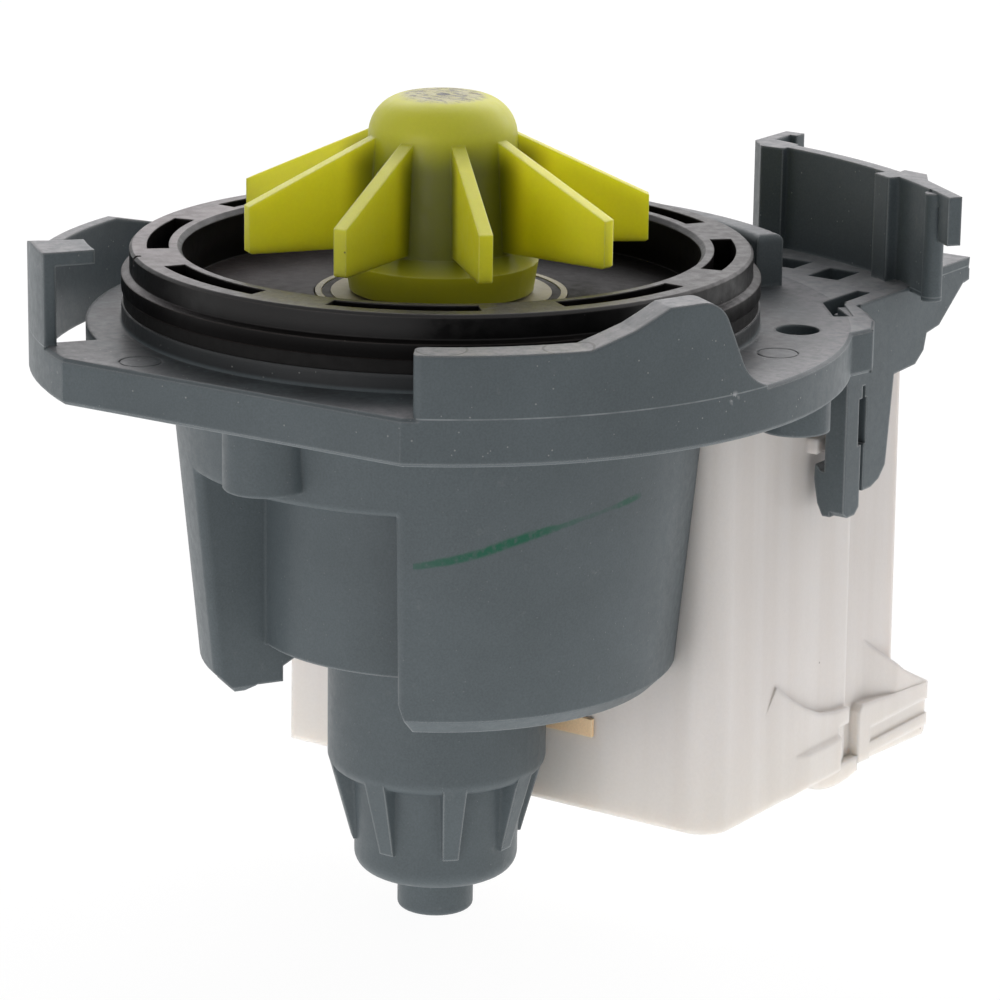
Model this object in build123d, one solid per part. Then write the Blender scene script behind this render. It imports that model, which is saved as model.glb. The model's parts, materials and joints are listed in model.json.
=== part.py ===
from build123d import *
import math
import os

# Dishwasher drain pump, in millimetres. The origin is on the impeller axis at the
# top face of the flange. +Z runs up that axis to the impeller, and +Y runs from
# the rotor can to the coil casing.

# Flange
FLANGE_R = 45.0            # outer radius
FLANGE_T = 5.0             # thickness, below the origin
FLAT_Y = -39.6             # straight front edge
FLAT_TURN = 1.5            # degrees that this edge is out of square
EDGE = 0.35                # small edge chamfer of the grey moulding
SUNK = -0.5                # how deep the raised features root in the flange
SOCKET_R = 34.9            # collar and cover plug into the sump's socket at this radius
COLLAR_T = 2.6
COLLAR_H = 2.0
SCREW_R = 2.4              # fixing hole
SCREW_AT = (34.5, 18.3)
SCREW_BOSS_R = 3.9
SCREW_BOSS_H = 6.1         # below the flange
PLAIN_BOSS_AT = (-1.7, -29.6)
PLAIN_BOSS_R = 4.5
PLAIN_BOSS_H = 8.3
EJECTOR_R = 2.3            # shallow rings left by the mould's ejector pins
EJECTOR_AT = [(38.2, 7.8), (-13.0, -36.2)]
EJECTOR_D = 0.15

# Bayonet tabs
RAMP_T = 3.7               # thickness of the front ramp, inwards from the flange's rim
RAMP_FROM = -58.6          # azimuths of the front ramp, in degrees
RAMP_TO = -6.5
RAMP_LOW = 6.5             # heights of its flat and of its crest
RAMP_HIGH = 10.2
HOOK_T = 1.4               # the left tab is a thinner wall with a hooked lip
HOOK_LIP = 5.7             # reach of the lip inwards from the flange's rim
HOOK_FROM = -188.0         # azimuths of the wall's back end, low stretch, ramp and lip
HOOK_LOW_FROM = -177.0
HOOK_RAMP_FROM = -158.5
HOOK_LIP_FROM = -132.0
HOOK_TO = -124.0
HOOK_SLOT_TO = -126.0      # end of the slot through the flange under the hook
HOOK_LIP_T = 1.5
HOOK_TOP = 10.1
HOOK_WALL_H = 5.7
HOOK_TAIL_H = 3.6
BACK_TAB = (38.9, 42.2)    # radii of the back tab
BACK_TAB_SPAN = (58.6, 104.0)
BACK_TAB_H = 6.0

# Chamber cover
COVER_R = 34.0
COVER_TOP = 8.1
COVER_TIER_TOP = 5.5
COVER_TIER_LOW = 3.5
BOWL_R = 28.3
BOWL_FLOOR = 2.8
BOWL_FLOOR_T = 1.6
SLOT_IN = 29.7
SLOT_OUT = 32.1
SLOT_COUNT = 8
SLOT_FROM = 13.2           # azimuths of the first rim slot
SLOT_TO = 42.3
SEAL_IN = 33.4             # groove and rubber ring below the tier
NOTCH_AZIMUTH = -131.3     # locating notch in the rim

# Bearing carrier in the bowl floor
CARRIER_R = 13.8
CARRIER_TOP = 2.9
CARRIER_LOW = 0.9
RING_GROOVE = (12.1, 13.1)
RING_GROOVE_D = 0.7
SPIGOT_LOW = -7.0
LIP_SEAL_R = 4.5

# Rotor can, neck and tip
CAN_R = 12.3
CAN_BORE_R = 10.6
NECK_LOW = -51.8
NECK_ROUND = 1.7
CORE_TOP_R = 9.9
CORE_R = 9.25
CORE_LOW = -64.0
CORE_ROUND = 2.2
TIP_R = 4.3
TIP_LOW = -68.7
RIB_COUNT = 8
RIB_TOP_W = 2.7
RIB_LOW_W = 1.8
RIB_TOP_R = 12.1
RIB_LOW_R = 9.6
RIB_LOW = -60.0

# Skirt round the pole pieces
SKIRT_TOP_R = 29.8
SKIRT_LOW_R = 26.6
SKIRT_LOW = -38.0
SKIRT_CHAMFER = 1.7
SKIRT_WALL = 2.0
POCKET_FROM = -120.5       # recess in the front of the skirt
POCKET_TO = -64.3
POCKET_TOP = -15.0
POCKET_R = 20.7
POCKET_WALL_LOW = -35.1
POCKET_ROUND = 0.9
WEB_T = 2.2                # ribs that run in to the can from both ends of the recess
WEB_TOE_R = 24.2           # radius of their lowest point
WEB_RISE = 6.2             # how far they rise from there to the can
TOE_LOW = -40.4            # lowest point of the left one, which is a blunt toe under the skirt
WEB_LOW = -38.6            # lowest point of the right one
CORNER_CUT = (1.4, 3.6)    # width and height of the cut at the skirt's lower right corner
SPLIT_Y = 11.5             # skirt ends and casing begins at this plane

# Shoulder, shelf and bracket for the cable at the back right
SHOULDER = [(5.5, 30), (30, 15), (39.9, 20.3), (40.7, 24.0), (38.9, 27.5), (36.4, 30.4), (34, 32.6),
            (34, 43), (5.5, 43)]
SHELF = (5.5, 34.0, 40.0, 58.5)    # low X, high X, low Y, high Y
SHELF_T = 2.0
WALL_CENTRE_Y = -8.0       # centre of the curved upright wall
WALL_R = 62.3
WALL_T = 1.7
WALL_FROM = 53.3
WALL_TO = 80.0
WALL_H = 12.1
WALL_RIB = 1.4             # how far its rib stands out inwards
WALL_RIB_SPAN = (60.0, 62.8)
BEAD_R = 1.15              # round bead down its right end
BEAD_AZIMUTH = 52.6
TAB_TURN = -37.6           # direction of the tab that leaves behind the bead
TAB_L = 9.8
TAB_T = 1.6
TAB_LOW = 6.6              # lowest point of its drop end
TAB_DROP_L = 2.6
SIDE_X = 34.0              # outer face of the side plate and clip legs
SIDE_T = 2.1
LEG_T = 2.6
LEG_Y = (30.7, 34.2)       # front clip leg
LEG_LOW = -24.4

# Impeller
VANE_COUNT = 9
VANE_T = 1.5
VANE_TIP_R = 22.5
VANE_PHASE = -43.3         # azimuth of one vane
VANE_TIP = (8.85, 13.8)    # lowest and highest point of a tip
VANE_ROOT = (8.5, 20.6)
HUB_TOP = 24.6
HUB_R = 8.1                # at the vane root's top
HUB_FLAT_R = 3.9
HUB_LOW_R = 9.0            # above the collar
COLLAR_R = 10.6            # widest ring of the collar at the hub's foot
COLLAR_Z = 6.6
HUB_FOOT_R = 10.1
HUB_FOOT = 3.3
CLAW_R = 6.2               # hollow for the drive claw
CLAW_TOP = 14.6

# Rotor
SHAFT_R = 2.0
SHAFT_TOP = 20.6
SHAFT_LOW = -59.0
RUN = 0.04                 # radial running clearance on the shaft
MAGNET_R = 9.6
MAGNET_BORE_R = 4.6
MAGNET = (-37.0, -10.0)
BUSH_R = 3.6
SEAT_R = 6.2
FRONT_BEARING = (-6.6, -0.6)
REAR_BEARING = (-58.0, -52.0)
DOG_SLEEVE_R = 2.6
DOG_R = 5.85
DOG_HALF = 45.0            # half the angle that the claw fills
LUG_HALF = 35.0            # half the angle of the impeller's own lug
LUG_IN = 3.6
BUMPER_IN = 2.95
CLAW_FIT = 0.4             # end clearance of the claw in its hollow

# Stator
CORE = (-37.0, -15.0)
LEG_X = (11.0, 19.5)
LEG_TIP_Y = -14.0
YOKE = (44.0, 50.0)
SHOE_R = 16.5
SHOE_HALF = 42.0
POLE_GAP = 0.4             # pole face to can
BOBBIN_Y = (13.3, 43.5)
BOBBIN_T = 1.0
FLANGE_OF_BOBBIN = 1.2
COIL_T = 5.4
BOBBIN_RIM = 0.4           # how far a bobbin flange stands out past its coil

# Coil casing and back cover
CASING_X = 29.0
CASING_TOP = -5.0
CASING_LOW = -57.9
CASING_WALL = 1.8
CASING_DRAFT = 0.5         # degrees, each side, widening downwards
CASING_BACK = 41.0
CORNER_R = 3.5             # right front corner
LEFT_CORNER_R = 0.6
FOOT_OUT = 1.0             # how far foot, catch and ear stand out past the casing
COVER_X = 28.3
COVER_BACK = 53.0
PLUG_X = 13.0              # plug shroud on the back
PLUG_Y = 61.0
PLUG_Z = (-37.0, -23.0)
PLUG_WALL = 1.5
BLADE_X = (3.2, 9.5)
BLADE_T = 0.8
TONGUE_X = (5.4, 13.6)     # tan strip let into the front of the casing
TONGUE_Z = (-49.0, -46.9)
TONGUE_D = 0.9


def disc(r, z_low, z_high):
    return Pos(0, 0, z_low) * Cylinder(r, z_high - z_low, align=(Align.CENTER, Align.CENTER, Align.MIN))


def tube(r_in, r_out, z_low, z_high):
    return disc(r_out, z_low, z_high) - disc(r_in, z_low, z_high)


def block(x_low, x_high, y_low, y_high, z_low, z_high):
    size = (x_high - x_low, y_high - y_low, z_high - z_low)
    return Pos(x_low, y_low, z_low) * Box(*size, align=(Align.MIN, Align.MIN, Align.MIN))


def sector(r_in, r_out, start, end, z_low, z_high):
    """Part of a tube between two azimuths in degrees."""
    outer = CenterArc((0, 0), r_out, start, end - start)
    inner = CenterArc((0, 0), r_in, start, end - start)
    ends = [Line(inner @ 0, outer @ 0), Line(inner @ 1, outer @ 1)]
    return Pos(0, 0, z_low) * extrude(make_face([outer, inner] + ends), z_high - z_low, dir=(0, 0, 1))


def turned(edges):
    """Solid of revolution about Z from a closed outline in the XZ plane."""
    return revolve(make_face(edges), Axis.Z)


def turned_line(points):
    return turned(Polyline([(r, 0, z) for r, z in points], close=True))


def plate_x(outline, x_low, x_high):
    """Plate across X with an outline of (y, z) points."""
    face = make_face(Polyline([(x_low, y, z) for y, z in outline], close=True))
    return extrude(face, x_high - x_low, dir=(1, 0, 0))


def around(shape, azimuth):
    return Rot(0, 0, azimuth) * shape


def spot(radius, azimuth):
    return radius * math.cos(math.radians(azimuth)), radius * math.sin(math.radians(azimuth))


def mirrored_pair(shape):
    return shape + mirror(shape, about=Plane.YZ)


def softened(plate):
    """Chamfer the top and bottom outline of a flat plate."""
    rims = [edge for face in plate.faces().filter_by(Axis.Z) for edge in face.edges()]
    return chamfer(rims, EDGE)


def flange_plate():
    plan = Circle(FLANGE_R)
    plan -= Rot(0, 0, FLAT_TURN) * Pos(0, FLAT_Y - FLANGE_R / 2) * Rectangle(2 * FLANGE_R, FLANGE_R)
    plate = softened(extrude(plan, -FLANGE_T))
    shoulder = softened(extrude(make_face(Polyline(SHOULDER, close=True)), FLANGE_T, dir=(0, 0, -1)))
    shelf = softened(block(*SHELF, -SHELF_T, 0))
    return plate + shoulder + shelf


def flange_openings():
    """Slots that free the hook, the side plate and the bracket wall from the flange."""
    low = -FLANGE_T - 1
    hook = sector(FLANGE_R - HOOK_LIP - 0.5, FLANGE_R - HOOK_T, HOOK_FROM, HOOK_SLOT_TO, low, 1)
    side = Polyline([(34.4, 26.2), (36.2, 27.6), (32.3, 32.3), (32.0, 39.0), (30.2, 39.0), (30.0, 31.4)],
                    close=True)
    side = Pos(0, 0, low) * extrude(make_face(side), 1 - low, dir=(0, 0, 1))
    wall = block(21.8, 25.7, 42.2, 47.4, low, 1) + block(13.2, 18.6, 44.4, 48.8, low, 1)
    return hook + side + wall


def front_ramp():
    middle = (RAMP_FROM + RAMP_TO) / 2
    half = FLANGE_R * math.sin(math.radians((RAMP_TO - RAMP_FROM) / 2))
    crest = (0, 10.3, RAMP_HIGH)
    brow = (0, 13.9, 8.0)
    heel = (0, 15.8, 3.8)
    line = Polyline((0, half, SUNK), (0, -half, SUNK), (0, -half, RAMP_LOW), (0, -2.3, RAMP_LOW + 0.1),
                    (0, 2.6, 8.3), (0, 6.5, RAMP_HIGH), crest)
    fall = [ThreePointArc(crest, (0, 12.6, 9.5), brow), Line(brow, heel),
            ThreePointArc(heel, (0, 17.3, 1.5), (0, half, 0.1))]
    end = Line((0, half, 0.1), (0, half, SUNK))
    outline = extrude(make_face([line, *fall, end]), FLANGE_R + 5, dir=(1, 0, 0))
    ramp = sector(FLANGE_R - RAMP_T, FLANGE_R, RAMP_FROM, RAMP_TO, SUNK, RAMP_HIGH + 1)
    ramp = ramp & around(outline, middle)
    blunt_end = ramp.edges().filter_by(Axis.Z).sort_by(Axis.Y)[:2]
    return fillet(blunt_end, 0.9)


def sloped_sector(r_in, r_out, start, end, z_start, z_end):
    """Sector whose top slopes from one height at its first azimuth to another at its last."""
    reach = r_out * math.sin(math.radians((end - start) / 2))
    slope = plate_x([(-reach, SUNK), (reach, SUNK), (reach, z_end), (-reach, z_start)], 0, r_out + 1)
    return sector(r_in, r_out, start, end, SUNK, max(z_start, z_end)) & around(slope, (start + end) / 2)


def left_hook():
    wall = (FLANGE_R - HOOK_T, FLANGE_R)
    hook = sloped_sector(*wall, HOOK_FROM, HOOK_LOW_FROM, HOOK_TAIL_H, HOOK_WALL_H)
    hook += sector(*wall, HOOK_LOW_FROM, HOOK_RAMP_FROM, SUNK, HOOK_WALL_H)
    hook += sloped_sector(*wall, HOOK_RAMP_FROM, HOOK_LIP_FROM, HOOK_WALL_H, HOOK_TOP)
    hook += sector(*wall, HOOK_LIP_FROM, HOOK_TO, SUNK, HOOK_TOP)
    return hook + sector(FLANGE_R - HOOK_LIP, FLANGE_R, HOOK_LIP_FROM, HOOK_TO, HOOK_TOP - HOOK_LIP_T,
                         HOOK_TOP)


def back_tab():
    tab = sector(*BACK_TAB, *BACK_TAB_SPAN, SUNK, BACK_TAB_H)
    top = tab.faces().sort_by(Axis.Z)[-1].edges()
    return fillet(top, 0.9)


def bosses():
    screw = Pos(*SCREW_AT, 0) * disc(SCREW_BOSS_R, -FLANGE_T - SCREW_BOSS_H, -FLANGE_T)
    plain = Pos(*PLAIN_BOSS_AT, 0) * disc(PLAIN_BOSS_R, -FLANGE_T - PLAIN_BOSS_H, -FLANGE_T)
    plain = fillet(plain.edges().sort_by(Axis.Z)[0], EDGE)
    return screw + plain


def ejector_marks():
    ring = tube(EJECTOR_R - 0.2, EJECTOR_R, -EJECTOR_D, 1)
    return [Pos(x, y, 0) * ring for x, y in EJECTOR_AT]


def skirt_cone():
    return turned_line([(0, -FLANGE_T), (SKIRT_TOP_R, -FLANGE_T), (SKIRT_LOW_R, SKIRT_LOW),
                        (SKIRT_LOW_R - SKIRT_CHAMFER, SKIRT_LOW - SKIRT_CHAMFER),
                        (0, SKIRT_LOW - SKIRT_CHAMFER)])


def is_pocket_rim(edge):
    """True for an edge where the front recess meets the outside of the cone."""
    middle = edge.center()
    radius = math.hypot(middle.X, middle.Y)
    azimuth = math.degrees(math.atan2(middle.Y, middle.X))
    beside = POCKET_FROM - 1 < azimuth < POCKET_TO + 1
    return beside and radius > SKIRT_LOW_R - 1 and SKIRT_LOW < middle.Z < POCKET_TOP + 0.1


def web(side, low):
    """Rib from the skirt in to the can at one end of the recess, with its lowest point at a height."""
    end = SKIRT_LOW_R - 1
    line = Polyline([(CAN_R - 0.1, 0, -FLANGE_T + 0.5), (end, 0, -FLANGE_T + 0.5),
                     (end, 0, low + end - WEB_TOE_R),
                     (WEB_TOE_R, 0, low), (WEB_TOE_R - 1.2, 0, low), (CAN_R - 0.1, 0, low + WEB_RISE)],
                     close=True)
    plate = extrude(make_face(line), WEB_T, dir=(0, side, 0))
    return chamfer(plate.edges().filter_by(Axis.Y, reverse=True).group_by(Axis.Z)[0], 0.6)


def corner_cut():
    width, height = CORNER_CUT
    low = SKIRT_LOW - SKIRT_CHAMFER
    return around(plate_x([(-1, low + height + 1), (0, low + height), (width, low), (width, low - 5),
                           (-1, low - 5)],
                          POCKET_R, SKIRT_LOW_R + 5), POCKET_TO)


def skirt():
    side = math.degrees(SKIRT_WALL / POCKET_R)
    outer = skirt_cone() - sector(POCKET_R, SKIRT_TOP_R + 10, POCKET_FROM, POCKET_TO, -60, POCKET_TOP)
    outer = fillet([edge for edge in outer.edges() if is_pocket_rim(edge)], POCKET_ROUND)
    low_r = SKIRT_LOW_R - SKIRT_WALL
    hollow = turned_line([(0, -FLANGE_T), (SKIRT_TOP_R - SKIRT_WALL, -FLANGE_T), (low_r, SKIRT_LOW),
                          (low_r, SKIRT_LOW - 5), (0, SKIRT_LOW - 5)])
    hollow -= sector(POCKET_R - SKIRT_WALL, SKIRT_TOP_R + 10, POCKET_FROM - side, POCKET_TO + side, -60,
                     POCKET_TOP + SKIRT_WALL)
    shell = outer - hollow
    shell -= sector(5, POCKET_R + 0.1, POCKET_FROM, POCKET_TO, -60, POCKET_WALL_LOW)
    shell += around(web(-1, TOE_LOW), POCKET_FROM) + around(web(1, WEB_LOW), POCKET_TO)
    shell -= corner_cut()
    return shell - block(-60, 60, SPLIT_Y, 60, -60, -FLANGE_T)


def neck():
    low = disc(CAN_R, NECK_LOW, -FLANGE_T)
    low = fillet(low.edges().sort_by(Axis.Z)[0], NECK_ROUND)
    core = turned_line([(0, NECK_LOW + 2), (CORE_TOP_R, NECK_LOW + 2), (CORE_R, RIB_LOW),
                        (CORE_R, CORE_LOW), (0, CORE_LOW)])
    core = fillet(core.edges().sort_by(Axis.Z)[0], CORE_ROUND)
    tip = disc(TIP_R, TIP_LOW, CORE_LOW + 1)
    tip = fillet(tip.edges().sort_by(Axis.Z)[0], 0.6)
    whole = low + core + tip
    foot = Plane((RIB_LOW_R / 2 + 3, 0, RIB_LOW)) * Rectangle(RIB_LOW_R - 6, RIB_LOW_W)
    head = Plane((RIB_TOP_R / 2 + 3, 0, NECK_LOW + 1)) * Rectangle(RIB_TOP_R - 6, RIB_TOP_W)
    rib = loft([foot, head])
    for step in range(RIB_COUNT):
        whole += around(rib, step * 360 / RIB_COUNT)
    return whole


def rotor_space():
    front = disc(CAN_BORE_R, -48.0, CARRIER_LOW + 1)
    rear = disc(SEAT_R, REAR_BEARING[0], -47)
    end = disc(SHAFT_R + 1, SHAFT_LOW - 1, REAR_BEARING[0] + 1)
    return front + rear + end


def cable_bracket():
    """Curved wall, its rib and bead, the two hooks behind it and the tab at its right end."""
    centre = Pos(0, WALL_CENTRE_Y, 0)
    whole = centre * sector(WALL_R, WALL_R + WALL_T, WALL_FROM, WALL_TO, SUNK, WALL_H)
    whole += centre * sector(WALL_R - WALL_RIB, WALL_R + 0.5, *WALL_RIB_SPAN, SUNK, WALL_H)
    whole += centre * Pos(*spot(WALL_R + 0.4, BEAD_AZIMUTH), 0) * disc(BEAD_R, SUNK, WALL_H - 0.3)
    left_hook_plan = [(9.2, 52.1), (12.1, 52.2), (12.4, 54.0), (12.2, 55.6), (8.5, 56.5), (8.5, 60.0),
                      (9.4, 60.0), (9.4, 61.8), (6.9, 61.8), (6.9, 54.6)]
    right_hook_plan = [(29.7, 49.8), (32.9, 49.2), (34.9, 45.9), (33.2, 45.0), (29.8, 47.3)]
    for plan in (left_hook_plan, right_hook_plan):
        whole += Pos(0, 0, SUNK) * extrude(make_face(Polyline(plan, close=True)), WALL_H - SUNK,
                                           dir=(0, 0, 1))
    tab = block(0, TAB_L, -TAB_T, 0, WALL_H - TAB_T, WALL_H)
    tab += block(TAB_L - TAB_DROP_L, TAB_L, -TAB_T, 0, TAB_LOW, WALL_H)
    return whole + Pos(34.5, 46.3, 0) * Rot(0, 0, TAB_TURN) * tab


def side_plate():
    """Plate down the right side with its ledge and two clip legs."""
    inside = SIDE_X - SIDE_T
    front, back = LEG_Y
    plate = plate_x([(33.0, 0), (43.0, 0), (51.5, 1.0), (58.5, 1.0), (58.2, -1.0), (51.6, -5.8), (48.7, -6.2),
                     (48.1, -8.1), (46.2, -9.4), (41.3, -9.6), (40.0, -19.9), (38.6, -21.3), (36.8, -21.9),
                     (back, -21.9), (back, LEG_LOW + 0.8), (back - 0.9, LEG_LOW), (front + 0.9, LEG_LOW),
                     (front, LEG_LOW + 0.6), (front, -1), (33.0, -1)], inside, SIDE_X)
    leg = block(SIDE_X - LEG_T, SIDE_X, front, back, LEG_LOW + 0.8, -9.6)
    inner = SIDE_X - LEG_T
    barb = Polyline([(inner + 0.2, 0, -19.3), (inner - 0.5, 0, -19.2), (inner - 1.2, 0, -18.5),
                     (inner - 1.3, 0, -20.2),
                     (inner - 0.8, 0, -23.0), (inner - 0.1, 0, LEG_LOW), (inner + 0.9, 0, LEG_LOW)],
                     close=True)
    barb = Pos(0, back, 0) * extrude(make_face(barb), back - front, dir=(0, -1, 0))
    slot = block(inner - 1, SIDE_X + 1, back - 0.7, back + 1.0, -16.4, -11.0)
    groove = block(SIDE_X - 0.6, SIDE_X + 1, back, back + 0.6, -23, -9.6)
    step = Polyline([(40.7, 24.0), (38.9, 27.5), (36.4, 30.4), (34, 32.6), (32.2, 31.0), (36.0, 27.5),
                     (38.2, 23.6)], close=True)
    step = Pos(0, 0, -FLANGE_T) * extrude(make_face(step), FLANGE_T - 0.2, dir=(0, 0, 1))
    ledge = plate_x([(43.0, -0.2), (51.5, 1.0), (58.5, 1.0), (58.2, -1.0), (51.6, -3.0), (43.0, -3.0)],
                    SIDE_X - 5, SIDE_X)
    return plate + leg + barb - slot - groove + step + ledge


def pump_housing():
    body = flange_plate() - flange_openings()
    body += tube(SOCKET_R - COLLAR_T, SOCKET_R, SUNK, COLLAR_H)
    body += disc(CARRIER_R, SUNK, CARRIER_LOW)
    body += front_ramp() + left_hook() + back_tab() + bosses()
    body += skirt() + neck() + cable_bracket() + side_plate()
    body -= rotor_space()
    body -= Pos(*SCREW_AT, 0) * disc(SCREW_R, -FLANGE_T - SCREW_BOSS_H - 1, 1)
    for mark in ejector_marks():
        body -= mark
    return body


def chamber_cover():
    spigot = SOCKET_R - COLLAR_T
    rim = turned_line([(BOWL_R, 0), (spigot, 0), (spigot, COLLAR_H), (SEAL_IN, COLLAR_H),
                       (SEAL_IN, COVER_TIER_LOW),
                       (SOCKET_R, COVER_TIER_LOW), (SOCKET_R, COVER_TIER_TOP - 0.3),
                       (COVER_R, COVER_TIER_TOP), (COVER_R, COVER_TOP - 0.3), (COVER_R - 0.3, COVER_TOP),
                       (BOWL_R + 0.5, COVER_TOP), (BOWL_R, COVER_TOP - 0.5)])
    floor = tube(CARRIER_R + 0.1, BOWL_R + 0.5, BOWL_FLOOR - BOWL_FLOOR_T, BOWL_FLOOR)
    foot = tube(CARRIER_R + 0.1, CARRIER_R + 2.1, 0, BOWL_FLOOR)
    cover = rim + floor + foot
    for step in range(SLOT_COUNT):
        turn = step * 360 / SLOT_COUNT
        cover -= sector(SLOT_IN, SLOT_OUT, SLOT_FROM + turn, SLOT_TO + turn, -1, COVER_TOP + 1)
    notch = block(COVER_R - 0.8, COVER_R + 1, -0.3, 0.3, COVER_TOP - 1, COVER_TOP + 1)
    return cover - around(notch, NOTCH_AZIMUTH)


def cover_seal():
    return tube(SEAL_IN, SOCKET_R - 0.2, COLLAR_H, COVER_TIER_LOW)


def bearing_carrier():
    plate = disc(CARRIER_R, CARRIER_LOW, CARRIER_TOP) + disc(CAN_BORE_R, SPIGOT_LOW, CARRIER_LOW)
    plate -= tube(*RING_GROOVE, CARRIER_TOP - RING_GROOVE_D, CARRIER_TOP + 1)
    plate -= disc(LIP_SEAL_R, 0.6, CARRIER_TOP + 1)
    plate -= disc(SEAT_R, SPIGOT_LOW - 1, FRONT_BEARING[1])
    return plate - disc(SHAFT_R + 0.6, -2, 2)


def carrier_ring():
    return tube(*RING_GROOVE, CARRIER_TOP - RING_GROOVE_D, CARRIER_TOP - 0.1)


def shaft_seal():
    body = tube(SHAFT_R + RUN, LIP_SEAL_R, 0.6, CARRIER_TOP - 0.3)
    relief = tube(SHAFT_R + 0.9, LIP_SEAL_R - 0.9, 1.5, CARRIER_TOP)
    return body - relief


def bearing(span):
    return tube(SHAFT_R + RUN, BUSH_R, *span)


def bearing_seat(span):
    seat = tube(BUSH_R, SEAT_R, *span)
    middle = (span[0] + span[1]) / 2
    return seat - tube(SEAT_R - 0.6, SEAT_R, middle - 0.8, middle + 0.8)


def shaft():
    rod = disc(SHAFT_R, SHAFT_LOW, SHAFT_TOP)
    return chamfer(rod.edges().filter_by(GeomType.CIRCLE), 0.4)


def rotor_magnet():
    ring = tube(MAGNET_BORE_R, MAGNET_R, *MAGNET)
    return chamfer(ring.edges().filter_by(GeomType.CIRCLE).group_by(SortBy.RADIUS)[-1], 0.5)


def rotor_carrier():
    low, high = MAGNET
    hub = disc(MAGNET_BORE_R, low, high)
    hub += disc(MAGNET_R - 0.8, low - 1.5, low)
    hub += disc(MAGNET_R - 0.8, high, high + 1.5)
    hub += disc(BUSH_R - 0.2, REAR_BEARING[1] + 0.7, low)
    return hub - disc(SHAFT_R, -60, 0)


def thrust_washer(z_low, z_high):
    return tube(SHAFT_R, BUSH_R - 0.2, z_low, z_high)


def drive_dog():
    low = HUB_FOOT + 1.9
    high = CLAW_TOP - CLAW_FIT
    sleeve = disc(DOG_SLEEVE_R, low, high)
    claw = sector(1.0, DOG_R, 180 - DOG_HALF, 180 + DOG_HALF, low, high)
    return sleeve + claw - disc(SHAFT_R, low - 1, high + 1)


def impeller_lug(inset):
    return sector(LUG_IN, CLAW_R + inset, -LUG_HALF, LUG_HALF, HUB_FOOT + 1.5, CLAW_TOP)


def dog_bumper():
    pad = sector(BUMPER_IN, CLAW_R, -DOG_HALF, DOG_HALF, HUB_FOOT + 1.5, CLAW_TOP)
    return pad - impeller_lug(1)


def hub_retainer():
    return tube(SHAFT_R + 0.45, CLAW_R, HUB_FOOT + 0.1, HUB_FOOT + 1.5)


def vane():
    low, high = VANE_TIP
    root_low, root_high = VANE_ROOT
    root = CLAW_R + 1
    outline = Polyline([(root, 0, root_low), (VANE_TIP_R - 0.3, 0, low - 0.2), (VANE_TIP_R, 0, low),
                        (VANE_TIP_R, 0, high),
                        (HUB_R - 0.3, 0, root_high), (root, 0, root_high)], close=True)
    return Pos(0, VANE_T / 2, 0) * extrude(make_face(outline), VANE_T, dir=(0, -1, 0))


def impeller():
    wall = Polyline((0, 0, HUB_TOP), (0, 0, HUB_FOOT), (HUB_FOOT_R, 0, HUB_FOOT), (COLLAR_R, 0, COLLAR_Z),
                    (HUB_LOW_R, 0, COLLAR_Z + 1.5), (HUB_R, 0, VANE_ROOT[1]))
    dome = ThreePointArc((HUB_R, 0, VANE_ROOT[1]), (HUB_R - 0.9, 0, VANE_ROOT[1] + 2.3),
                         (HUB_FLAT_R, 0, HUB_TOP))
    top = Line((HUB_FLAT_R, 0, HUB_TOP), (0, 0, HUB_TOP))
    wheel = turned([wall, dome, top])
    blade = vane()
    for step in range(VANE_COUNT):
        wheel += around(blade, VANE_PHASE + step * 360 / VANE_COUNT)
    wheel -= disc(CLAW_R, HUB_FOOT - 1, CLAW_TOP)
    wheel -= disc(SHAFT_R + RUN, CLAW_TOP - 1, SHAFT_TOP + 0.5)
    return wheel + impeller_lug(0.5)


def core_leg(side):
    leg = block(LEG_X[0], LEG_X[1], LEG_TIP_Y, YOKE[0], *CORE)
    leg += sector(CAN_R, SHOE_R, -SHOE_HALF, SHOE_HALF, *CORE)
    leg -= disc(CAN_R + POLE_GAP, CORE[0] - 1, CORE[1] + 1)
    return leg if side > 0 else mirror(leg, about=Plane.YZ)


def core_yoke():
    return block(-LEG_X[1], LEG_X[1], *YOKE, *CORE)


def bobbin_block(grow, y_low, y_high):
    """Block round one core leg, larger than the leg by grow on each side."""
    return block(LEG_X[0] - grow, LEG_X[1] + grow, y_low, y_high, CORE[0] - grow, CORE[1] + grow)


def bobbin(side):
    low, high = BOBBIN_Y
    rim = BOBBIN_T + COIL_T + BOBBIN_RIM
    shape = bobbin_block(BOBBIN_T, low, high)
    shape += bobbin_block(rim, low, low + FLANGE_OF_BOBBIN) + bobbin_block(rim, high - FLANGE_OF_BOBBIN, high)
    shape -= bobbin_block(0, low - 1, high + 1)
    return shape if side > 0 else mirror(shape, about=Plane.YZ)


def winding(side):
    low = BOBBIN_Y[0] + FLANGE_OF_BOBBIN
    high = BOBBIN_Y[1] - FLANGE_OF_BOBBIN
    coil = bobbin_block(BOBBIN_T + COIL_T, low, high)
    coil = fillet(coil.edges().filter_by(Axis.Y), COIL_T * 0.8)
    coil -= bobbin_block(BOBBIN_T, low - 1, high + 1)
    return coil if side > 0 else mirror(coil, about=Plane.YZ)


def thermal_fuse():
    inner_face = LEG_X[0] - BOBBIN_T - COIL_T
    body = block(inner_face - 3.4, inner_face, 22, 34, -30, -26)
    return chamfer(body.edges().filter_by(Axis.Y), 0.5)


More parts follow.
